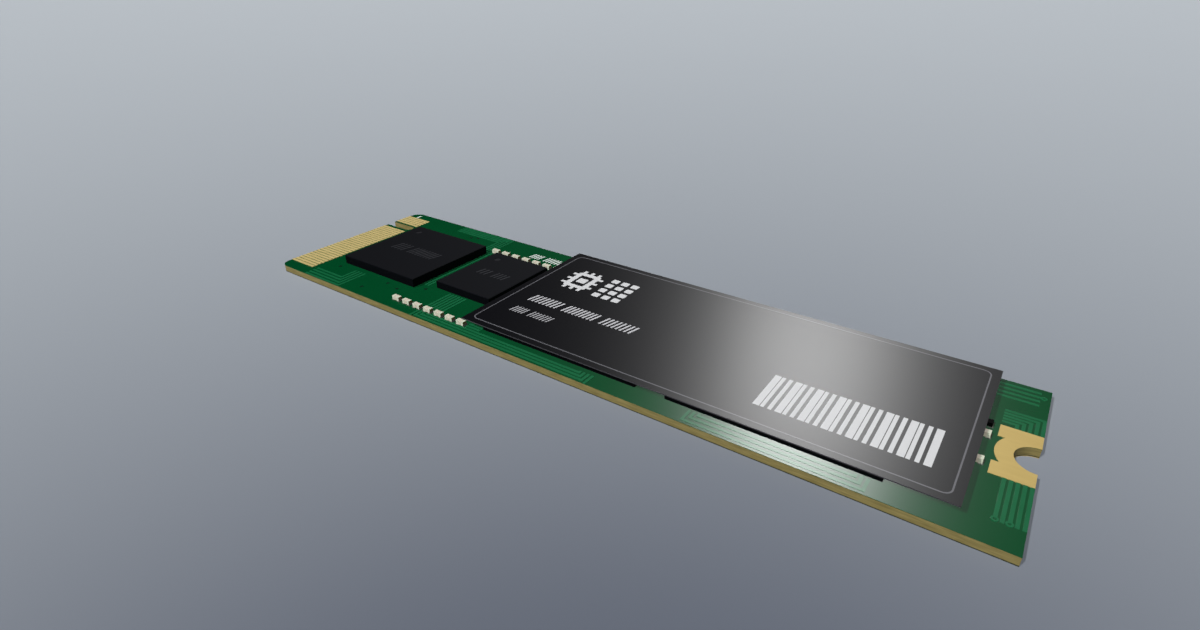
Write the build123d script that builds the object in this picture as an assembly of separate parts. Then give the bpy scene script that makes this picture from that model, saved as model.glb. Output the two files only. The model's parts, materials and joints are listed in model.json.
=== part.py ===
from build123d import *
import os

os.makedirs("parts", exist_ok=True)

# Gumstick solid state drive, 22 mm wide and 80 mm long, in millimetres.
# X runs along the board from the connector edge (-X) to the screw notch (+X).
# Y runs from the near edge (-Y) to the far edge (+Y), and Z points up.
# The origin is under the middle of the board, level with the lowest copper.

# Circuit board
board_length = 80.0
board_width = 22.0
board_thickness = 0.8
board_corner_radius = 1.2

# Copper and lacquer on the board
copper_thickness = 0.05
track_height = 0.03
track_width = 0.28
shortest_track = 0.6

# Card edge contacts, on a pitch of half a millimetre on each face
contact_pitch = 0.5
contact_width = 0.35
contact_length = 4.15
front_place_count = 38
back_place_count = 37
places_before_key_count = 29
key_place_count = 4

# Key notch between the two groups of contacts
key_width = 1.2
key_depth = 4.2

# Screw notch at the other end, and the bare copper pad around it
screw_notch_radius = 1.75
pad_disc_radius = 3.06
pad_wing_length = 3.06
pad_wing_outer = 3.44

# Chip packages: length along X, width along Y, and height over the solder joints
joint_height = 0.06
top_edge_chamfer = 0.06
controller_length = 12.05
controller_width = 11.95
controller_height = 1.04
controller_from_edge = 6.6
controller_offset_y = -0.375
memory_length = 8.0
memory_width = 10.0
memory_height = 0.89
memory_gap = 2.25
memory_offset_y = 0.1
flash_length = 18.0
flash_width = 18.0
flash_height = 1.14

# Pin one dimple in the top of the controller and of the memory
dimple_radius = 0.4
dimple_depth = 0.05
dimple_inset = 1.6

# Solder joints under the packages
joint_radius = 0.22
joint_side_count = 8
joint_inset = 0.55
controller_joint_pitch = 0.9
controller_ring_count = 2
memory_joint_pitch = 0.8
memory_column_count = 3
flash_joint_pitch = 1.25
flash_column_count = 2

# Label, a stiff foil on top of the two flash packages: how far it starts before the
# first one, and how far it stops short of the pad at the screw notch
label_width = 20.0
label_thickness = 0.1
label_lead = 1.9
label_to_pad = 0.94

# Chip capacitors: a ceramic body between two tinned ends
capacitor_length = 1.0
capacitor_width = 0.5
capacitor_height = 0.45
capacitor_end_length = 0.27
capacitor_step = 0.03
capacitor_gap = 0.625
capacitor_row_count = 7
near_row_from_controller = 0.35
near_row_from_edge = 1.59
far_row_from_controller = 0.45
far_row_from_memory = 1.35
end_row_past_label = 0.48
end_capacitor_places_y = (1.2, -2.5)

# Small two-ended diode beside the end capacitors
diode_length = 1.0
diode_width = 0.6
diode_height = 0.35
diode_past_label = 0.43
diode_place_y = 2.9

# Copper lands under the capacitors and the diode, and the solder that climbs their ends
land_reach = 0.1
land_length = 0.4
land_margin = 0.03
solder_rise = 0.18

# Plated holes: open rings at the screw end, lacquered over elsewhere. Of the tracks that run
# past the pad, counted from the board's end, these end in a ring.
ring_radius = 0.27
ring_hole_radius = 0.12
ringed_tracks = (2, 4)
ring_row_from_wing = 4.86
edge_ring_from_edge = 1.5
edge_ring_from_end = 0.52
plug_radius = 0.2
plug_height = 0.02

# Filled holes, each as two distances: from the controller's near right corner, from
# the memory's near left corner, and from the controller's right side and the far edge
controller_plug_offsets = ((-11.95, -0.95), (-5.15, -3.15), (-3.4, -0.85), (-1.4, -1.25))
memory_plug_offsets = ((-0.9, -0.9),)
far_plug_offsets = ((-5.45, -2.6), (-4.55, -2.2))

# Tracks: how far they stop short of a package, and the bundles along the edges
track_to_package = 0.3
bundle_from_edge = 0.33
bundle_pitch = 0.45
bend_pitch = 0.46

# Nested corners between the contacts and the controller
corner_count = 4
corner_pitch = 0.53
corner_from_contacts = 0.85
corner_from_edge = 0.2
corner_under_controller = 4.45
corner_to_controller = 0.85

# Bundle from the memory to the near edge, part of which runs on to the first flash package.
# Outside it a plating tail runs out to the board's edge at each of its two bends.
memory_track_count = 5
long_track_count = 3
memory_bundle_inset = 2.84
long_track_inset = 4.5
long_track_to_package = 0.65

# Nested hooks beside the second flash package
hook_count = 3
hook_from_edge = 0.42
hook_pitch = 0.57
hook_start_inset = 2.55
hook_end_inset = 0.9

# Nested corners at the far edge beside the controller, and tracks between the chips
far_corner_count = 4
far_corner_start = 3.4
between_chips_count = 2
between_chips_inset = 0.45

# Tracks at the screw end: along the far edge, and round the pad to the plated holes
edge_track_count = 4
edge_track_pitch = 0.7
edge_track_from_edge = 0.74
edge_track_from_end = 0.9
edge_track_under_label = 1.0
pad_track_count = 5
pad_track_pitch = 0.45
pad_track_start = 0.16
pad_track_from_wing = 2.47

# Places that follow from the sizes above
connector_x = -board_length / 2
screw_x = board_length / 2
near_y = -board_width / 2
far_y = board_width / 2
board_bottom = copper_thickness
board_top = board_bottom + board_thickness
track_top = board_top + track_height
land_top = board_top + copper_thickness
package_bottom = board_top + joint_height
label_bottom = package_bottom + flash_height
contact_end_x = connector_x + contact_length
missing_contact_y = (places_before_key_count + (key_place_count - front_place_count) / 2) * contact_pitch
key_y = missing_contact_y + contact_pitch / 4
controller_left = connector_x + controller_from_edge
controller_right = controller_left + controller_length
controller_near = controller_offset_y - controller_width / 2
controller_far = controller_offset_y + controller_width / 2
memory_left = controller_right + memory_gap
memory_right = memory_left + memory_length
memory_near = memory_offset_y - memory_width / 2
memory_far = memory_offset_y + memory_width / 2
pad_wing_left = screw_x - pad_wing_length
label_right = pad_wing_left - label_to_pad
capacitor_pitch = capacitor_length + capacitor_gap
near_row_y = near_y + near_row_from_edge
near_row_left = controller_right + near_row_from_controller
far_row_y = memory_far + far_row_from_memory
far_row_left = controller_right + far_row_from_controller
end_capacitor_left = label_right + end_row_past_label - capacitor_length
diode_left = label_right + diode_past_label - diode_length
ring_row_y = -pad_wing_outer - ring_row_from_wing
outer_track_x = screw_x - track_width / 2
edge_ring_x = screw_x - edge_ring_from_end
edge_ring_y = far_y - edge_ring_from_edge

# The flash packages stand evenly: one gap before each, and two between the last and the pad
flash_gap = (pad_wing_left - memory_right - 2 * flash_length) / 4
first_flash_left = memory_right + flash_gap
first_flash_right = first_flash_left + flash_length
second_flash_left = first_flash_right + flash_gap
second_flash_right = second_flash_left + flash_length
flash_near = -flash_width / 2
label_left = first_flash_left - label_lead


# Plain solids, and writing them out

def block(x0, x1, y0, y1, z0, z1):
    """A straight sided solid between two corners."""
    outline = Pos((x0 + x1) / 2, (y0 + y1) / 2, z0) * Rectangle(x1 - x0, y1 - y0)
    return extrude(outline, amount=z1 - z0)


def disc(x, y, radius, z0, z1):
    """A round solid standing on z0."""
    return extrude(Pos(x, y, z0) * Circle(radius), amount=z1 - z0)


def save(name, pieces):
    """Write one named node, as one solid or as a group of separate solids."""
    solids = [solid for piece in pieces for solid in piece.solids()]
    whole = solids[0] if len(solids) == 1 else Compound(solids)
    export_step(whole, "parts/" + name + ".step")


# Circuit board with its two notches

def key_notch(z0, z1):
    """The slot with a round inner end that keys the connector."""
    inner_x = connector_x + key_depth - key_width / 2
    side = key_width / 2
    slot = block(connector_x - key_width, inner_x, key_y - side, key_y + side, z0, z1)
    return slot + disc(inner_x, key_y, side, z0, z1)


def screw_notch(z0, z1):
    """The half round bite that the holding screw sits in."""
    return disc(screw_x, 0, screw_notch_radius, z0, z1)


def circuit_board():
    plate = block(connector_x, screw_x, near_y, far_y, board_bottom, board_top)
    connector_corners = plate.edges().filter_by(Axis.Z).group_by(Axis.X)[0]
    plate = fillet(connector_corners, board_corner_radius)
    return plate - key_notch(board_bottom, board_top) - screw_notch(board_bottom, board_top)


# Bare copper: card edge contacts and the pads at the screw notch

def contacts(place_count, z0, z1):
    """One face's row of contacts, centred on the board, without those at the key."""
    row = []
    side = contact_width / 2
    for place in range(place_count):
        if 0 <= place - places_before_key_count < key_place_count:
            continue
        y = (place - (place_count - 1) / 2) * contact_pitch
        row.append(block(connector_x, contact_end_x, y - side, y + side, z0, z1))
    return row


def screw_pad(z0, z1):
    """A round pad with two straight wings, cut by the screw notch and the board's end."""
    wings = block(pad_wing_left, screw_x, -pad_wing_outer, pad_wing_outer, z0, z1)
    between = block(pad_wing_left, screw_x, -screw_notch_radius, screw_notch_radius, z0, z1)
    past_end = block(screw_x, screw_x + pad_disc_radius, -pad_disc_radius, pad_disc_radius, z0, z1)
    round_part = disc(screw_x, 0, pad_disc_radius, z0, z1) - past_end
    return (wings - between + round_part) - screw_notch(z0, z1)


# Chip packages

def package(left, near, length, width, height):
    """A moulded package with a fine chamfer round its top."""
    top = package_bottom + height
    body = block(left, left + length, near, near + width, package_bottom, top)
    return chamfer(body.faces().sort_by(Axis.Z)[-1].edges(), top_edge_chamfer)


def dimpled_package(left, near, length, width, height):
    """A package with the shallow dimple that marks its first pin."""
    top = package_bottom + height
    x = left + dimple_inset
    y = near + width - dimple_inset
    return package(left, near, length, width, height) - disc(x, y, dimple_radius, top - dimple_depth, top)


# Solder joints under the packages

def joint(x, y):
    """One solder joint, a short pillar with few sides."""
    outline = Pos(x, y, board_top) * RegularPolygon(joint_radius, joint_side_count)
    return extrude(outline, amount=joint_height)


def joint_field(left, near, length, width, pitch, is_used):
    """Solder joints on a square pitch under one package, where is_used keeps a place."""
    columns = int((length - 2 * joint_inset) / pitch) + 1
    rows = int((width - 2 * joint_inset) / pitch) + 1
    first_x = left + (length - (columns - 1) * pitch) / 2
    first_y = near + (width - (rows - 1) * pitch) / 2
    joints = []
    for column in range(columns):
        for row in range(rows):
            columns_in = min(column, columns - 1 - column)
            rows_in = min(row, rows - 1 - row)
            if is_used(columns_in, rows_in):
                joints.append(joint(first_x + column * pitch, first_y + row * pitch))
    return joints


def in_controller_rings(columns_in, rows_in):
    return min(columns_in, rows_in) < controller_ring_count


def in_memory_banks(columns_in, rows_in):
    return columns_in < memory_column_count


def in_flash_banks(columns_in, rows_in):
    return columns_in < flash_column_count


# Chip capacitors, the diode, and the lands that they are soldered to

def capacitor_body(left, centre_y):
    """The bare ceramic between the ends, a little slimmer than they are."""
    side = capacitor_width / 2 - capacitor_step
    return block(left + capacitor_end_length, left + capacitor_length - capacitor_end_length,
                 centre_y - side, centre_y + side,
                 land_top + capacitor_step, land_top + capacitor_height - capacitor_step)


def capacitor_ends(left, centre_y):
    """The two tinned ends."""
    side = capacitor_width / 2
    top = land_top + capacitor_height
    right = left + capacitor_length
    first = block(left, left + capacitor_end_length, centre_y - side, centre_y + side, land_top, top)
    second = block(right - capacitor_end_length, right, centre_y - side, centre_y + side, land_top, top)
    return [first, second]


def soldered_land(end_x, outward, centre_y, width):
    """One copper land, with solder that slopes up to the component's end. Outward is -1 or 1."""
    outer_x = end_x + outward * land_reach
    inner_x = outer_x - outward * land_length
    profile = Polygon(
        (inner_x, board_top), (outer_x, board_top), (outer_x, land_top),
        (end_x, land_top + solder_rise), (end_x, land_top), (inner_x, land_top), align=None)
    return extrude(Plane.XZ.offset(-centre_y) * profile, amount=width / 2 + land_margin, both=True)


def lands(left, length, centre_y, width):
    """The two soldered lands of a two ended component."""
    return [soldered_land(left, -1, centre_y, width), soldered_land(left + length, 1, centre_y, width)]


def capacitor_places():
    """Name, left end and middle line of every capacitor."""
    places = []
    for number in range(capacitor_row_count):
        step = number * capacitor_pitch
        places.append(("near_capacitor_" + str(number + 1), near_row_left + step, near_row_y))
        places.append(("far_capacitor_" + str(number + 1), far_row_left + step, far_row_y))
    for number, y in enumerate(end_capacitor_places_y):
        places.append(("end_capacitor_" + str(number + 1), end_capacitor_left, y))
    return places


def footprint(left, length, centre_y, width):
    """The patch of board that a component and its lands keep clear of tracks."""
    side = width / 2 + land_margin
    return block(left - land_reach, left + length + land_reach, centre_y - side, centre_y + side,
                 board_top, track_top)


# Plated holes

def ring_places():
    """Middles of the open plated holes at the screw end."""
    row = [(outer_track_x - step * pad_track_pitch, ring_row_y) for step in ringed_tracks]
    return row + [(edge_ring_x, edge_ring_y)]


def plug_places():
    """Middles of the plated holes that the lacquer fills."""
    groups = (
        (controller_right, controller_near, controller_plug_offsets),
        (memory_left, memory_near, memory_plug_offsets),
        (controller_right, far_y, far_plug_offsets),
    )
    return [(x + along, y + across) for x, y, offsets in groups for along, across in offsets]


def ring(x, y):
    """The copper ring round an open plated hole."""
    return disc(x, y, ring_radius, board_top, land_top) - disc(x, y, ring_hole_radius, board_top, land_top)


def plug(x, y):
    """The low lacquered cap of a filled hole."""
    return disc(x, y, plug_radius, board_top, board_top + plug_height)


# Tracks under the lacquer

def track(*corners):
    """One track through its corners, as straight bars along X or Y."""
    reach = track_width / 2
    whole = None
    for (x0, y0), (x1, y1) in zip(corners, corners[1:]):
        bar = block(min(x0, x1) - reach, max(x0, x1) + reach,
                    min(y0, y1) - reach, max(y0, y1) + reach, board_top, track_top)
        whole = bar if whole is None else whole + bar
    return whole


def connector_corner_tracks():
    """Nested corners between the contacts and the controller."""
    start_x = contact_end_x + corner_from_contacts
    end_y = controller_near - corner_to_controller
    tracks = []
    for step in range(corner_count):
        x = controller_left + corner_under_controller - step * corner_pitch
        y = near_y + corner_from_edge + step * corner_pitch
        tracks.append(track((start_x, y), (x, y), (x, end_y)))
    return tracks


def near_edge_tracks():
    """Tracks from the memory to the near edge, some of which run on along it, and two tails."""
    start_y = memory_near - track_to_package
    end_y = flash_near - long_track_to_package
    tail_y = near_y + track_width / 2
    tail_x = memory_left + memory_bundle_inset - bend_pitch
    tail_bend_x = first_flash_right - long_track_inset + bend_pitch
    tracks = [track((tail_x, start_y), (tail_x, tail_y)), track((tail_bend_x, tail_y), (tail_bend_x, end_y))]
    for step in range(memory_track_count):
        x = memory_left + memory_bundle_inset + step * bend_pitch
        y = near_y + bundle_from_edge + step * bundle_pitch
        if step < long_track_count:
            bend_x = first_flash_right - long_track_inset - step * bend_pitch
            tracks.append(track((x, start_y), (x, y), (bend_x, y), (bend_x, end_y)))
        else:
            tracks.append(track((x, start_y), (x, y), (first_flash_left - track_to_package, y)))
    return tracks


def second_flash_tracks():
    """Nested hooks along the near edge beside the second flash package."""
    end_y = flash_near - track_to_package
    tracks = []
    for step in range(hook_count):
        y = near_y + hook_from_edge + step * hook_pitch
        left = second_flash_left + hook_start_inset + step * bend_pitch
        right = second_flash_right - hook_end_inset - step * bend_pitch
        tracks.append(track((left, end_y), (left, y), (right, y), (right, end_y)))
    return tracks


def far_edge_tracks():
    """Nested corners at the far edge beside the controller, and tracks between the chips."""
    start_x = controller_left + far_corner_start
    tracks = []
    for step in range(far_corner_count):
        x = controller_right - step * bend_pitch
        y = far_y - bundle_from_edge - step * bundle_pitch
        tracks.append(track((start_x, y), (x, y), (x, controller_far + track_to_package)))
    for step in range(between_chips_count):
        x = controller_right + between_chips_inset + step * bend_pitch
        tracks.append(track((x, memory_near), (x, far_row_y)))
    return tracks


def screw_end_tracks():
    """Tracks from the label to the end, and round the screw pad down to the plated holes."""
    tracks = []
    for step in range(edge_track_count):
        y = far_y - edge_track_from_edge - step * edge_track_pitch
        tracks.append(track((label_right - edge_track_under_label, y), (screw_x - edge_track_from_end, y)))
    for step in range(pad_track_count):
        x = outer_track_x - step * pad_track_pitch
        y = pad_wing_outer + pad_track_from_wing - step * pad_track_pitch
        tracks.append(track((pad_wing_left + pad_track_start, y), (x, y), (x, 0)))
        tracks.append(track((x, 0), (x, ring_row_y)))
    return tracks


def front_tracks():
    """All tracks, cut back to the lands, pads and plated holes that they meet."""
    groups = [connector_corner_tracks(), near_edge_tracks(), second_flash_tracks(),
              far_edge_tracks(), screw_end_tracks()]
    cutters = [footprint(left, capacitor_length, y, capacitor_width) for _, left, y in capacitor_places()]
    cutters.append(block(pad_wing_left, screw_x, -pad_wing_outer, pad_wing_outer, board_top, track_top))
    cutters += [disc(x, y, ring_radius, board_top, track_top) for x, y in ring_places()]
    pieces = [piece for group in groups for line in group for piece in (line - cutters).solids()]
    return [piece for piece in pieces if max(piece.bounding_box().size) > shortest_track]


# Every node of the drive

save("circuit_board", [circuit_board()])
save("front_contacts", contacts(front_place_count, board_top, land_top))
save("back_contacts", contacts(back_place_count, 0, board_bottom))
save("front_screw_pad", [screw_pad(board_top, land_top)])
save("back_screw_pad", [screw_pad(0, board_bottom)])
save("front_tracks", front_tracks())
save("plated_rings", [ring(x, y) for x, y in ring_places()])
save("plated_plugs", [plug(x, y) for x, y in plug_places()])

save("controller_package", [dimpled_package(
    controller_left, controller_near, controller_length, controller_width, controller_height)])
save("controller_joints", joint_field(
    controller_left, controller_near, controller_length, controller_width,
    controller_joint_pitch, in_controller_rings))
save("memory_package", [dimpled_package(
    memory_left, memory_near, memory_length, memory_width, memory_height)])
save("memory_joints", joint_field(
    memory_left, memory_near, memory_length, memory_width, memory_joint_pitch, in_memory_banks))
for number, left in enumerate((first_flash_left, second_flash_left), 1):
    save("flash_package_" + str(number), [package(left, flash_near, flash_length, flash_width, flash_height)])
    save("flash_joints_" + str(number), joint_field(
        left, flash_near, flash_length, flash_width, flash_joint_pitch, in_flash_banks))
save("label", [block(label_left, label_right, -label_width / 2, label_width / 2,
                     label_bottom, label_bottom + label_thickness)])

capacitor_lands = []
for name, left, y in capacitor_places():
    save(name, [capacitor_body(left, y)])
    save(name + "_ends", capacitor_ends(left, y))
    capacitor_lands += lands(left, capacitor_length, y, capacitor_width)
save("capacitor_lands", capacitor_lands)

save("diode", [block(diode_left, diode_left + diode_length,
                     diode_place_y - diode_width / 2, diode_place_y + diode_width / 2,
                     land_top, land_top + diode_height)])
save("diode_lands", lands(diode_left, diode_length, diode_place_y, diode_width))
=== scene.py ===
import json
import math

import bmesh
import bpy
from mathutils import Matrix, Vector


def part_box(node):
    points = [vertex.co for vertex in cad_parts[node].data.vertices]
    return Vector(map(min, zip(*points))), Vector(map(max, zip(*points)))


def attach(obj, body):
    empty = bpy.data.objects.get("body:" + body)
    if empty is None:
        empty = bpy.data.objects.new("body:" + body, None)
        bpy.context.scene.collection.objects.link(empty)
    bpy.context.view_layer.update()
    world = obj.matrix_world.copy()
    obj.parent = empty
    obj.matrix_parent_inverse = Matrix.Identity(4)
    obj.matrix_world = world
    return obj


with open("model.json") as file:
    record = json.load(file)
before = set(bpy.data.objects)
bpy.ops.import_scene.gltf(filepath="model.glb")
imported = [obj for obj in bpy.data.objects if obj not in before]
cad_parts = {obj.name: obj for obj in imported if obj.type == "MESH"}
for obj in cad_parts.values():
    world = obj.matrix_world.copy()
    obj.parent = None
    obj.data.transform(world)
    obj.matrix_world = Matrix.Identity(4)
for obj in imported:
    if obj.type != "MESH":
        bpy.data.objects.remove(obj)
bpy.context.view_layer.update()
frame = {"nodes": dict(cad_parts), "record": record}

# Sizes in metres, in the frame of the drive
MM = 0.001
PRINT_THICKNESS = 0.006 * MM
PRINT_SINK = 0.002 * MM
EDGE_LACQUER = 0.035 * MM
# Height of the band of painted shade at the foot of the board's edge
EDGE_PAINTED_SHADE = 0.09 * MM

# Corners of the pieces that the rest is set out from
board_low, board_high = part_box("circuit_board")
label_low, label_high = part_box("label")
controller_low, controller_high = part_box("controller_package")
memory_low, memory_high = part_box("memory_package")


# Node helpers for materials

class Shader:
    """A new material with its principled shader, and short calls that add nodes to it."""

    def __init__(self, name, roughness, metallic=0.0, specular=0.5):
        self.material = bpy.data.materials.new(name)
        self.material.use_nodes = True
        self.nodes = self.material.node_tree.nodes
        self.links = self.material.node_tree.links
        self.principled = self.nodes["Principled BSDF"]
        self.principled.inputs["Roughness"].default_value = roughness
        self.principled.inputs["Metallic"].default_value = metallic
        self.principled.inputs["Specular IOR Level"].default_value = specular
        self.coordinates = self.nodes.new("ShaderNodeTexCoord")

    def noise(self, scale, detail=3.0, stretch=(1, 1, 1)):
        """A noise factor in object space, with scale in features per metre."""
        mapping = self.nodes.new("ShaderNodeMapping")
        mapping.inputs["Scale"].default_value = stretch
        self.links.new(self.coordinates.outputs["Object"], mapping.inputs["Vector"])
        texture = self.nodes.new("ShaderNodeTexNoise")
        texture.inputs["Scale"].default_value = scale
        texture.inputs["Detail"].default_value = detail
        self.links.new(mapping.outputs["Vector"], texture.inputs["Vector"])
        return texture.outputs["Fac"]

    def maths(self, operation, first, second=0.0, third=0.0):
        """One arithmetic node. Each input is a number or an output."""
        node = self.nodes.new("ShaderNodeMath")
        node.operation = operation
        for socket, value in zip(node.inputs, (first, second, third)):
            if isinstance(value, (int, float)):
                socket.default_value = value
            else:
                self.links.new(value, socket)
        return node.outputs[0]

    def axis(self, source, name):
        """One part of the surface's place or normal in object space."""
        split = self.nodes.new("ShaderNodeSeparateXYZ")
        self.links.new(self.coordinates.outputs[source], split.inputs["Vector"])
        return split.outputs[name]

    def lies_flat(self):
        """1 on faces that look straight up or down, 0 on upright walls."""
        return self.maths("GREATER_THAN", self.maths("ABSOLUTE", self.axis("Normal", "Z")), 0.5)

    def spread(self, factor, low, high):
        """A noise factor's usual range moved to the range low to high."""
        ranged = self.nodes.new("ShaderNodeMapRange")
        ranged.inputs["From Min"].default_value = 0.3
        ranged.inputs["From Max"].default_value = 0.7
        ranged.inputs["To Min"].default_value = low
        ranged.inputs["To Max"].default_value = high
        self.links.new(factor, ranged.inputs["Value"])
        return ranged.outputs["Result"]

    def mix(self, factor, first, second):
        """A blend of two colours, each a colour or the output of another blend."""
        blend = self.nodes.new("ShaderNodeMix")
        blend.data_type = "RGBA"
        self.links.new(factor, blend.inputs["Factor"])
        colour_sockets = [socket for socket in blend.inputs if socket.type == "RGBA"]
        for socket, colour in zip(colour_sockets, (first, second)):
            if isinstance(colour, tuple):
                socket.default_value = (*colour, 1)
            else:
                self.links.new(colour, socket)
        return [socket for socket in blend.outputs if socket.type == "RGBA"][0]

    def colour(self, output):
        self.links.new(output, self.principled.inputs["Base Color"])

    def roughness(self, output):
        self.links.new(output, self.principled.inputs["Roughness"])

    def bump(self, height, distance, strength=1.0):
        """Fine relief from a height factor, with distance in metres."""
        relief = self.nodes.new("ShaderNodeBump")
        relief.inputs["Strength"].default_value = strength
        relief.inputs["Distance"].default_value = distance
        self.links.new(height, relief.inputs["Height"])
        self.links.new(relief.outputs["Normal"], self.principled.inputs["Normal"])


def srgb(*values):
    """A colour given in 0 to 255 display values, as the linear values that a shader takes."""
    parts = [value / 255 for value in values]
    return tuple(part / 12.92 if part <= 0.04 else ((part + 0.055) / 1.055) ** 2.4 for part in parts)


# Materials of the drive

def board_material():
    """Green lacquer on both faces and just over the edges, and a tan fibre laminate between, with a band of painted
    shade along its foot.
    """
    shader = Shader("board_lacquer", roughness=0.27, specular=0.37)
    lacquer = shader.mix(shader.noise(220, 4), srgb(0, 67, 33), srgb(1, 73, 38))
    fibre = shader.spread(shader.noise(2600, 5, (0.25, 0.25, 3.0)), 0.0, 1.0)
    laminate = shader.mix(fibre, srgb(109, 98, 56), srgb(140, 127, 79))
    height = shader.axis("Object", "Z")
    above = shader.maths("GREATER_THAN", height, board_high.z - EDGE_LACQUER)
    # Painted shade: the lowest strip of the laminate edge is dark olive, for the shade where the board meets the
    # floor.
    below = shader.maths("LESS_THAN", height, board_low.z + EDGE_PAINTED_SHADE)
    laminate = shader.mix(below, laminate, srgb(50, 52, 36))
    covered = shader.maths("MAXIMUM", shader.lies_flat(), above)
    shader.colour(shader.mix(covered, laminate, lacquer))
    bare_roughness, lacquer_roughness = 0.75, 0.27
    gloss = shader.maths("MULTIPLY", covered, lacquer_roughness - bare_roughness)
    shader.roughness(shader.maths("ADD", gloss, bare_roughness))
    shader.bump(shader.noise(3000, 2), 0.001 * MM, 0.3)
    return shader.material


def track_material():
    """Lighter lacquer over copper, with a soft change of tone along the tracks."""
    shader = Shader("track_lacquer", roughness=0.27, specular=0.335)
    shader.colour(shader.mix(shader.noise(900, 3), srgb(17, 92, 55), srgb(26, 103, 65)))
    shader.bump(shader.noise(3000, 2), 0.001 * MM, 0.3)
    return shader.material


def plug_material():
    """Dark lacquer sunk into the filled holes."""
    shader = Shader("plug_lacquer", roughness=0.4, specular=0.3)
    shader.colour(shader.mix(shader.noise(6000, 2), srgb(2, 38, 22), srgb(4, 46, 27)))
    return shader.material


def gold_material():
    """Matt plated gold with faint rubbing marks, paler on the contacts than on the screw pad."""
    shader = Shader("gold_plate", roughness=0.5, metallic=0.2, specular=0.3)
    rub = shader.noise(3000, 4, (0.15, 1.0, 1.0))
    contact = shader.mix(rub, srgb(206, 184, 122), srgb(219, 198, 137))
    pad = shader.mix(rub, srgb(184, 158, 91), srgb(198, 173, 105))
    at_pad = shader.maths("GREATER_THAN", shader.axis("Object", "X"), 0.0)
    shader.colour(shader.mix(at_pad, contact, pad))
    shader.roughness(shader.spread(rub, 0.42, 0.56))
    shader.bump(shader.noise(12000, 2), 0.002 * MM, 0.3)
    return shader.material


def resin_material(name, dark, light, wall, roughness):
    """Moulded black resin with a fine mineral grain, and walls darker than the top, whose paler colour is a painted
    sheen.
    """
    shader = Shader(name, roughness=roughness, specular=0.08)
    grain = shader.noise(14000, 3)
    # Painted sheen: the top faces take a paler colour than the walls, for the gloss that lies on them.
    top = shader.mix(grain, dark, light)
    shader.colour(shader.mix(shader.lies_flat(), wall, top))
    shader.bump(grain, 0.005 * MM, 0.5)
    return shader.material


def label_material():
    """Black satin film with a barely visible grain, and upright edges painted pale as a painted sheen."""
    shader = Shader("label_film", roughness=0.354, specular=0.3)
    grain = shader.noise(5000, 3)
    face = shader.mix(grain, srgb(5, 5, 10), srgb(9, 9, 14))
    # Painted sheen: the upright edges are painted grey, as light as the glossy top looks.
    shader.colour(shader.mix(shader.lies_flat(), srgb(62, 60, 64), face))
    shader.roughness(shader.spread(grain, 0.35, 0.36))
    return shader.material


def print_material(name, dark, light, roughness=0.5, specular=0.2):
    """Flat printing ink that is a little uneven."""
    shader = Shader(name, roughness=roughness, specular=specular)
    shader.colour(shader.mix(shader.noise(9000, 3), dark, light))
    return shader.material


def tin_material(name, dark, light, end, metallic):
    """Dull tin or solder, slightly frosted, with painted shade on the faces at a component's ends."""
    shader = Shader(name, roughness=0.5, metallic=metallic, specular=0.2)
    frost = shader.noise(11000, 4)
    # Painted shade: faces that look along X take the end colour, a brown that stands for the shade on them.
    painted_shade_at_ends = shader.maths("GREATER_THAN", shader.maths("ABSOLUTE", shader.axis("Normal", "X")), 0.8)
    shader.colour(shader.mix(painted_shade_at_ends, shader.mix(frost, dark, light), end))
    shader.bump(frost, 0.006 * MM, 0.4)
    return shader.material


def ceramic_material():
    """Matt pale tan ceramic of the capacitors, with fine layers."""
    shader = Shader("capacitor_ceramic", roughness=0.6, specular=0.3)
    layers = shader.noise(7000, 4, (1, 1, 2.5))
    shader.colour(shader.mix(layers, srgb(194, 185, 167), srgb(207, 198, 181)))
    return shader.material


SLOTS = {
    "board_lacquer": board_material(),
    "track_lacquer": track_material(),
    "plug_lacquer": plug_material(),
    "gold_plate": gold_material(),
    # The chip walls are painted darker than the top, which carries a painted sheen.
    "chip_resin": resin_material("chip_resin", srgb(12, 13, 17), srgb(19, 20, 24), srgb(7, 7, 11), 0.7),
    "diode_resin": resin_material("diode_resin", srgb(1, 1, 2), srgb(3, 3, 4), srgb(1, 1, 2), 0.8),
    "label_film": label_material(),
    "capacitor_ceramic": ceramic_material(),
    # The brown third colour is painted shade on the tinned end faces.
    "tinned_ends": tin_material("tinned_ends", srgb(194, 198, 178), srgb(210, 214, 194), srgb(150, 126, 84), 0.0),
    "solder": tin_material("solder", srgb(100, 102, 96), srgb(128, 130, 124), srgb(100, 102, 96), 0.3),
}
WHITE_PRINT = print_material("white_print", srgb(202, 203, 205), srgb(212, 213, 215))
SOFT_PRINT = print_material("soft_print", srgb(184, 184, 188), srgb(196, 196, 200))
FAINT_PRINT = print_material("faint_print", srgb(160, 160, 164), srgb(172, 172, 176))
BORDER_PRINT = print_material("border_print", srgb(92, 92, 97), srgb(102, 102, 107), 0.354, 0.3)
CHIP_PRINT = print_material("chip_print", srgb(44, 45, 49), srgb(54, 55, 59))
DIMPLE_PRINT = print_material("dimple_print", srgb(31, 31, 35), srgb(37, 37, 41))
BOARD_PRINT = print_material("board_print", srgb(206, 216, 210), srgb(224, 232, 227))


def dress_cad_nodes():
    """Give every carried over node the material of its slot, and keep the capacitors out of the gloss."""
    for entry in frame["record"]["subparts"]:
        node = frame["nodes"][entry["node"]]
        node.data.materials.clear()
        node.data.materials.append(SLOTS[entry["material_slot"]])
        node.visible_glossy = entry["material_slot"] not in ("capacitor_ceramic", "tinned_ends")


# Solids built on outlines

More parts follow.
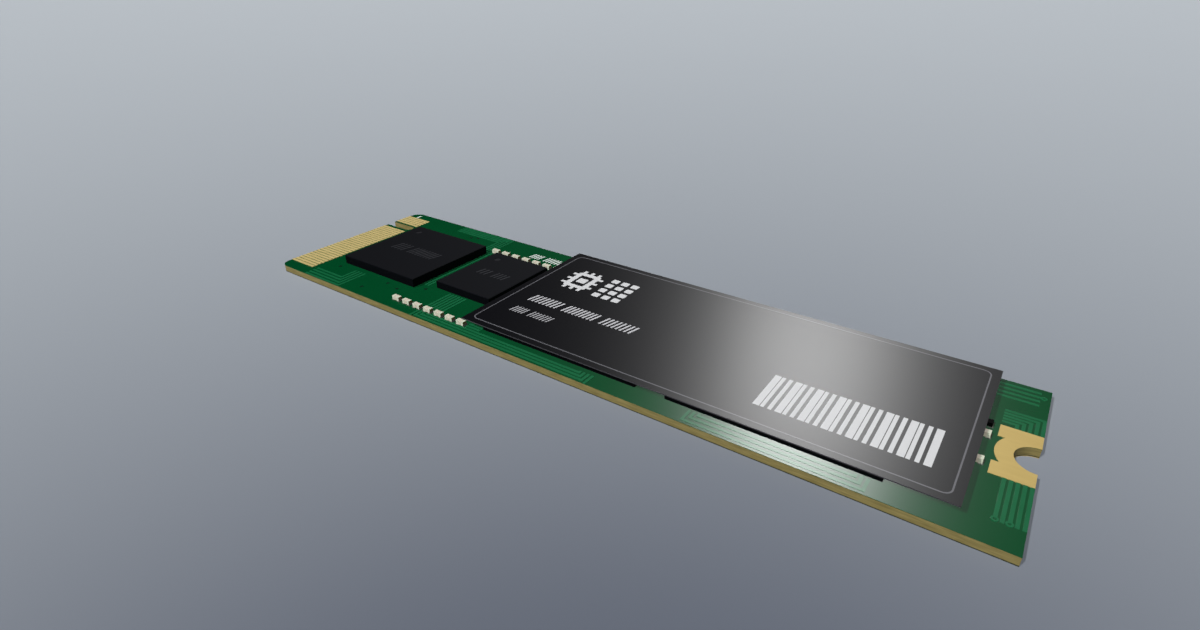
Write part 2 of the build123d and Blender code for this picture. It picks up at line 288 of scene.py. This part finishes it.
def rounded_outline(x0, x1, y0, y1, radius, steps=4):
    """Corner points of a rounded rectangle, anticlockwise."""
    points = []
    middles = ((x1 - radius, y1 - radius), (x0 + radius, y1 - radius),
               (x0 + radius, y0 + radius), (x1 - radius, y0 + radius))
    for quarter, (x, y) in enumerate(middles):
        for step in range(steps + 1):
            angle = (quarter + step / steps) * math.pi / 2
            points.append((x + radius * math.cos(angle), y + radius * math.sin(angle)))
    return points


def add_prism(mesh, outline, z0, z1):
    """A closed flat solid on an outline."""
    low = [mesh.verts.new((x, y, z0)) for x, y in outline]
    high = [mesh.verts.new((x, y, z1)) for x, y in outline]
    mesh.faces.new(high)
    mesh.faces.new(low[::-1])
    count = len(outline)
    for i in range(count):
        j = (i + 1) % count
        mesh.faces.new((low[i], low[j], high[j], high[i]))


def add_frame(mesh, outer, inner, z0, z1):
    """A closed flat ring between two outlines with as many points."""
    rings = [[mesh.verts.new((x, y, z)) for x, y in outline]
             for outline, z in ((outer, z0), (outer, z1), (inner, z1), (inner, z0))]
    count = len(outer)
    for first, second in zip(rings, rings[1:] + rings[:1]):
        for i in range(count):
            j = (i + 1) % count
            mesh.faces.new((first[i], first[j], second[j], second[i]))


def finish_piece(mesh, name, material):
    """Turn a built mesh into a named piece that rides on the drive."""
    bmesh.ops.recalc_face_normals(mesh, faces=mesh.faces)
    data = bpy.data.meshes.new(name)
    mesh.to_mesh(data)
    mesh.free()
    data.materials.append(material)
    piece = bpy.data.objects.new(name, data)
    bpy.context.scene.collection.objects.link(piece)
    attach(piece, "root")
    return piece


def glaze_capacitors():
    """A thin smooth glaze on the ceramic bodies, which brings them nearly level with the tinned ends."""
    thickness, corner = 0.026 * MM, 0.03 * MM
    mesh = bmesh.new()
    for entry in frame["record"]["subparts"]:
        if entry["material_slot"] != "capacitor_ceramic":
            continue
        low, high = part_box(entry["node"])
        section = rounded_outline(low.y - thickness, high.y + thickness, low.z - thickness, high.z + thickness,
                                  corner, 2)
        ends = [[mesh.verts.new((x, y, z)) for y, z in section] for x in (low.x, high.x)]
        mesh.faces.new(ends[0])
        mesh.faces.new(ends[1][::-1])
        for i in range(len(section)):
            j = (i + 1) % len(section)
            mesh.faces.new((ends[0][i], ends[1][i], ends[1][j], ends[0][j]))
    glaze = finish_piece(mesh, "capacitor_glaze", SLOTS["capacitor_ceramic"])
    glaze.visible_glossy = False


# Flat printed shapes

def printed(name, shapes, surface, material):
    """Flat ink shapes on a surface at one height. Each is one outline, or an outer and an inner one."""
    z0, z1 = surface - PRINT_SINK, surface + PRINT_THICKNESS
    mesh = bmesh.new()
    for shape in shapes:
        if len(shape) == 1:
            add_prism(mesh, shape[0], z0, z1)
        else:
            add_frame(mesh, shape[0], shape[1], z0, z1)
    finish_piece(mesh, name, material)


def stroke_row(x0, x1, y0, y1, pitch, width):
    """A band of slanted strokes between two ends."""
    slant = (y1 - y0) * 0.25
    count = int((x1 - x0 - slant - width) / pitch + 0.5) + 1
    step = (x1 - x0 - slant - width) / (count - 1)
    shapes = []
    for place in range(count):
        left = x0 + place * step
        shapes.append(([(left, y0), (left + width, y0), (left + width + slant, y1), (left + slant, y1)],))
    return shapes


# Print on the label, measured from its left end and its middle line

LABEL_MIDDLE = (label_low.y + label_high.y) / 2
BORDER_INSET = 0.7 * MM
BORDER_WIDTH = 0.12 * MM
BORDER_RADIUS = 0.7 * MM


def label_x(distance):
    return label_low.x + distance * MM


def label_y(distance):
    return LABEL_MIDDLE + distance * MM


def label_border():
    """The thin rounded line that runs round the label."""
    mesh = bmesh.new()
    outlines = []
    for inset, radius in ((BORDER_INSET, BORDER_RADIUS), (BORDER_INSET + BORDER_WIDTH, BORDER_RADIUS - BORDER_WIDTH)):
        outlines.append(rounded_outline(label_low.x + inset, label_high.x - inset,
                                        label_low.y + inset, label_high.y - inset, radius, 6))
    add_frame(mesh, outlines[0], outlines[1], label_high.z - PRINT_SINK, label_high.z + PRINT_THICKNESS)
    finish_piece(mesh, "label_border", BORDER_PRINT)


def chip_picture(left, right, low, high):
    """A square ring with a small square in it, and three pins on each side."""
    pin_length, pin_half_width, stroke, die = 0.55 * MM, 0.2 * MM, 0.6 * MM, 1.1 * MM
    pin_pitch_x, pin_pitch_y = 0.95 * MM, 1.15 * MM
    middle_x, middle_y = (left + right) / 2, (low + high) / 2
    inset = pin_length + stroke
    shapes = [(rounded_outline(left + pin_length, right - pin_length, low + pin_length, high - pin_length, 0.3 * MM),
               rounded_outline(left + inset, right - inset, low + inset, high - inset, 0.1 * MM)),
              (rounded_outline(middle_x - die / 2, middle_x + die / 2,
                               middle_y - die / 2, middle_y + die / 2, 0.1 * MM),)]
    for place in (-1, 0, 1):
        x = middle_x + place * pin_pitch_x
        y = middle_y + place * pin_pitch_y
        for end in (low, high - pin_length):
            shapes.append((rounded_outline(x - pin_half_width, x + pin_half_width,
                                           end, end + pin_length, 0.05 * MM, 1),))
        for end in (left, right - pin_length):
            shapes.append((rounded_outline(end, end + pin_length,
                                           y - pin_half_width, y + pin_half_width, 0.05 * MM, 1),))
    return shapes


def label_picture():
    """The large mark: a plain picture of a chip with pins on four sides, and a field of square cells."""
    left, right = label_x(2.9), label_x(6.9)
    low, high = label_y(1.5), label_y(6.2)
    shapes = chip_picture(left, right, low, high)
    field_left = label_x(7.7)
    cell, column_pitch = 0.85 * MM, 1.25 * MM
    columns, rows = 3, 4
    for column in range(columns):
        for row in range(rows):
            x = field_left + column * column_pitch
            y = low + row * (high - low - cell) / (rows - 1)
            shapes.append((rounded_outline(x, x + cell, y, y + cell, 0.12 * MM, 2),))
    printed("label_picture", shapes, label_high.z, WHITE_PRINT)


def label_lines():
    """Two lines of slanted strokes under the large mark, in groups."""
    lines = (("label_line_1", ((2.8, 6.8), (7.2, 11.4), (11.9, 15.9)), -3.15, -1.65, 0.46, 0.22, SOFT_PRINT),
             ("label_line_2", ((2.75, 4.65), (5.05, 7.85)), -5.95, -4.8, 0.38, 0.16, FAINT_PRINT))
    for name, groups, low, high, pitch, width, material in lines:
        shapes = []
        for left, right in groups:
            shapes += stroke_row(label_x(left), label_x(right), label_y(low), label_y(high), pitch * MM, width * MM)
        printed(name, shapes, label_high.z, material)


def label_stripes():
    """A field of upright stripes in a repeating pattern of three widths."""
    start, period, repeats = 29.9, 1.866, 7
    widths_and_gaps = ((0.57, 0.07), (0.32, 0.30), (0.34, 0.27))
    low, high = label_y(-7.0), label_y(-1.95)
    shapes = []
    for repeat in range(repeats + 1):
        left = start + repeat * period
        for width, gap in widths_and_gaps[:1] if repeat == repeats else widths_and_gaps:
            shapes.append((rounded_outline(label_x(left), label_x(left + width), low, high, 0.02 * MM, 1),))
            left += width + gap
    printed("label_stripes", shapes, label_high.z, WHITE_PRINT)


# Marks on the chips and on the board

def chip_marks():
    """Faint bands of strokes on the controller and on the memory, measured from each chip's left end."""
    pitch, width = 0.5 * MM, 0.17 * MM
    marks = (("controller_mark", controller_low, controller_high, -0.17, 0.9, ((2.5, 4.8), (5.3, 9.8))),
             ("memory_mark", memory_low, memory_high, -0.09, 0.65, ((2.0, 3.6), (4.2, 6.2))))
    for name, chip_low, chip_high, shift, half_height, groups in marks:
        middle = (chip_low.y + chip_high.y) / 2 + shift * MM
        low, high = middle - half_height * MM, middle + half_height * MM
        shapes = []
        for start, end in groups:
            shapes += stroke_row(chip_low.x + start * MM, chip_low.x + end * MM, low, high, pitch, width)
        printed(name, shapes, chip_high.z, CHIP_PRINT)


def dimple_floors():
    """A paler floor in the pin one dimple of the controller and of the memory."""
    inset, depth, floor_radius = 1.6 * MM, 0.05 * MM, 0.39 * MM
    for name, low, high in (("controller_dimple", controller_low, controller_high),
                            ("memory_dimple", memory_low, memory_high)):
        x, y = low.x + inset, high.y - inset
        outline = rounded_outline(x - floor_radius, x + floor_radius, y - floor_radius, y + floor_radius,
                                  0.96 * floor_radius, 6)
        printed(name, [(outline,)], high.z - depth, DIMPLE_PRINT)


def board_marks():
    """White marks on the board: a tick by the contacts and a row by the far capacitors."""
    far = board_high.y
    tick, half_width = board_low.x + 1.35 * MM, 0.14 * MM
    outline = rounded_outline(tick - half_width, tick + half_width, far - 1.4 * MM, far - 0.55 * MM, 0.05 * MM, 1)
    printed("board_tick", [(outline,)], board_high.z, BOARD_PRINT)
    left = board_low.x + 23.6 * MM
    low, high = far - 3.1 * MM, far - 1.9 * MM
    pitch, width = 0.42 * MM, 0.21 * MM
    shapes = stroke_row(left, left + 1.8 * MM, low, high, pitch, width)
    shapes += stroke_row(left + 2.2 * MM, left + 7.4 * MM, low, high, pitch, width)
    printed("board_mark", shapes, board_high.z, BOARD_PRINT)


# Floor, light and camera

def stage_piece(name, rows, material):
    """A sheet of the stage through rows of points."""
    mesh = bmesh.new()
    lines = [[mesh.verts.new(point) for point in row] for row in rows]
    for first, second in zip(lines, lines[1:]):
        for i in range(len(first) - 1):
            face = mesh.faces.new((first[i], first[i + 1], second[i + 1], second[i]))
            face.smooth = True
    data = bpy.data.meshes.new(name)
    mesh.to_mesh(data)
    mesh.free()
    data.materials.append(material)
    piece = bpy.data.objects.new(name, data)
    bpy.context.scene.collection.objects.link(piece)
    return piece


def floor():
    """A pale matt floor with a wide soft patch of painted shade in front of the drive, centred below the camera,
    which stands in for the floor's sheen changing with the angle it is seen at; clear when seen from below.
    """
    reach = 3.0
    painted_shade_middle = (35 * MM, -51 * MM)
    painted_shade_size = 34 * MM
    darkest_painted_shade, softness = 0.81, 0.12
    pale, dark = (0.484, 0.520, 0.556), (0.03, 0.040, 0.076)
    shader = Shader("floor_paint", roughness=0.95, specular=0.0)
    # Painted shade: the colour darkens towards the patch's middle and is pale far from it.
    away = shader.nodes.new("ShaderNodeVectorMath")
    away.operation = "DISTANCE"
    away.inputs[1].default_value = (*painted_shade_middle, painted_shade_size)
    shader.links.new(shader.coordinates.outputs["Object"], away.inputs[0])
    depth = shader.maths("DIVIDE", painted_shade_size, away.outputs["Value"])
    depth = shader.maths("SMOOTH_MIN", depth, darkest_painted_shade, softness)
    shader.colour(shader.mix(depth, pale, dark))
    clear = shader.nodes.new("ShaderNodeBsdfTransparent")
    sides = shader.nodes.new("ShaderNodeMixShader")
    facing = shader.nodes.new("ShaderNodeNewGeometry")
    shader.links.new(facing.outputs["Backfacing"], sides.inputs[0])
    shader.links.new(shader.principled.outputs["BSDF"], sides.inputs[1])
    shader.links.new(clear.outputs["BSDF"], sides.inputs[2])
    shader.links.new(sides.outputs["Shader"], shader.nodes["Material Output"].inputs["Surface"])
    stage_piece("floor", [[(-reach, y, 0), (reach, y, 0)] for y in (-reach, reach)], shader.material)


def backdrop():
    """A pale even dome far away, which lights nothing and is seen in no gloss."""
    reach = 2.9
    shader = Shader("backdrop_paint", roughness=0.95, specular=0.0)
    tone = shader.mix(shader.noise(2, 2), (0.44, 0.475, 0.51), (0.46, 0.495, 0.53))
    shader.principled.inputs["Base Color"].default_value = (0.0, 0.0, 0.0, 1)
    shader.links.new(tone, shader.principled.inputs["Emission Color"])
    shader.principled.inputs["Emission Strength"].default_value = 1.0
    shader.material.cycles.emission_sampling = "NONE"
    step = math.pi / 24
    turns = [i * step for i in range(49)]
    rises = [i * step for i in range(12)]
    rows = []
    for rise in rises:
        radius = reach * math.cos(rise)
        rows.append([(radius * math.cos(turn), radius * math.sin(turn), reach * math.sin(rise)) for turn in turns])
    rows.append([(0.0, 0.0, reach)] * len(turns))
    dome = stage_piece("backdrop", rows, shader.material)
    dome.visible_diffuse = False
    dome.visible_glossy = False
    dome.visible_shadow = False


def sun(name, towards, strength, angle, shadow):
    """A far lamp that stands in one direction and is seen in no gloss."""
    data = bpy.data.lights.new(name, "SUN")
    data.energy = strength
    data.angle = math.radians(angle)
    data.use_shadow = shadow
    data.cycles.use_multiple_importance_sampling = shadow
    item = bpy.data.objects.new(name, data)
    item.rotation_euler = Vector(towards).to_track_quat("Z", "Y").to_euler()
    item.visible_glossy = False
    bpy.context.scene.collection.objects.link(item)


def strip(name, azimuth, low, high, width, strength):
    """A tall narrow lamp seen in gloss only, given by the angles in degrees at which its foot point sees it."""
    distance = 0.6
    foot = Vector((35 * MM, -51 * MM, 0))
    away = Vector((-math.sin(math.radians(azimuth)), math.cos(math.radians(azimuth)), 0))
    middle = math.radians((low + high) / 2)
    rise = Vector((0, 0, 1))
    data = bpy.data.lights.new(name, "AREA")
    data.shape = "RECTANGLE"
    data.size = width
    data.size_y = 2 * distance * math.tan(math.radians((high - low) / 2))
    data.energy = strength
    data.use_shadow = False
    data.cycles.use_multiple_importance_sampling = False
    item = bpy.data.objects.new(name, data)
    towards = away * math.cos(middle) + rise * math.sin(middle)
    item.location = foot + towards * distance
    item.rotation_euler = towards.to_track_quat("Z", "Y").to_euler()
    item.visible_diffuse = False
    bpy.context.scene.collection.objects.link(item)


def lights():
    """A key light from the near left, soft fill without shadow, and two tall strips that show in the gloss."""
    sun("key_light", (-0.35, -1.0, 1.0), 2.2, 2, True)
    sun("fill_light", (0.0, -0.61, 0.79), 1.75, 60, False)
    sun("back_light", (-0.3, 1.0, 0.6), 0.63, 60, False)
    sun("under_light", (0.0, 0.0, -1.0), 1.6, 10, False)
    for name, azimuth in (("gloss_light", 14.8), ("near_gloss_light", 194.8)):
        strip(name, azimuth, 24.7, 42.3, 0.108, 1.33)
    world = bpy.data.worlds.new("soft_world")
    world.use_nodes = True
    background = world.node_tree.nodes["Background"]
    background.inputs["Color"].default_value = (0.92, 0.96, 1.0, 1)
    background.inputs["Strength"].default_value = 0.02
    world.cycles_visibility.glossy = False
    bpy.context.scene.world = world


def camera():
    """The photograph's view, 50 degrees high: from the near right, down along the drive."""
    data = bpy.data.cameras.new("camera")
    data.sensor_width = 36.0
    vertical = math.radians(50)
    picture_width, picture_height = 1200, 630
    data.lens = data.sensor_width / 2 / (math.tan(vertical / 2) * picture_width / picture_height)
    data.clip_start = 0.001
    data.clip_end = 20
    eye = bpy.data.objects.new("camera", data)
    eye.location = (35.44 * MM, -50.96 * MM, board_high.z + 33.54 * MM)
    azimuth, elevation = math.radians(34.82), math.radians(28.21)
    eye.rotation_euler = (math.pi / 2 - elevation, 0, azimuth)
    bpy.context.scene.collection.objects.link(eye)
    bpy.context.scene.camera = eye


dress_cad_nodes()
glaze_capacitors()
label_border()
label_picture()
label_lines()
label_stripes()
chip_marks()
dimple_floors()
board_marks()
floor()
backdrop()
lights()
camera()
bpy.context.scene.view_settings.view_transform = "Standard"
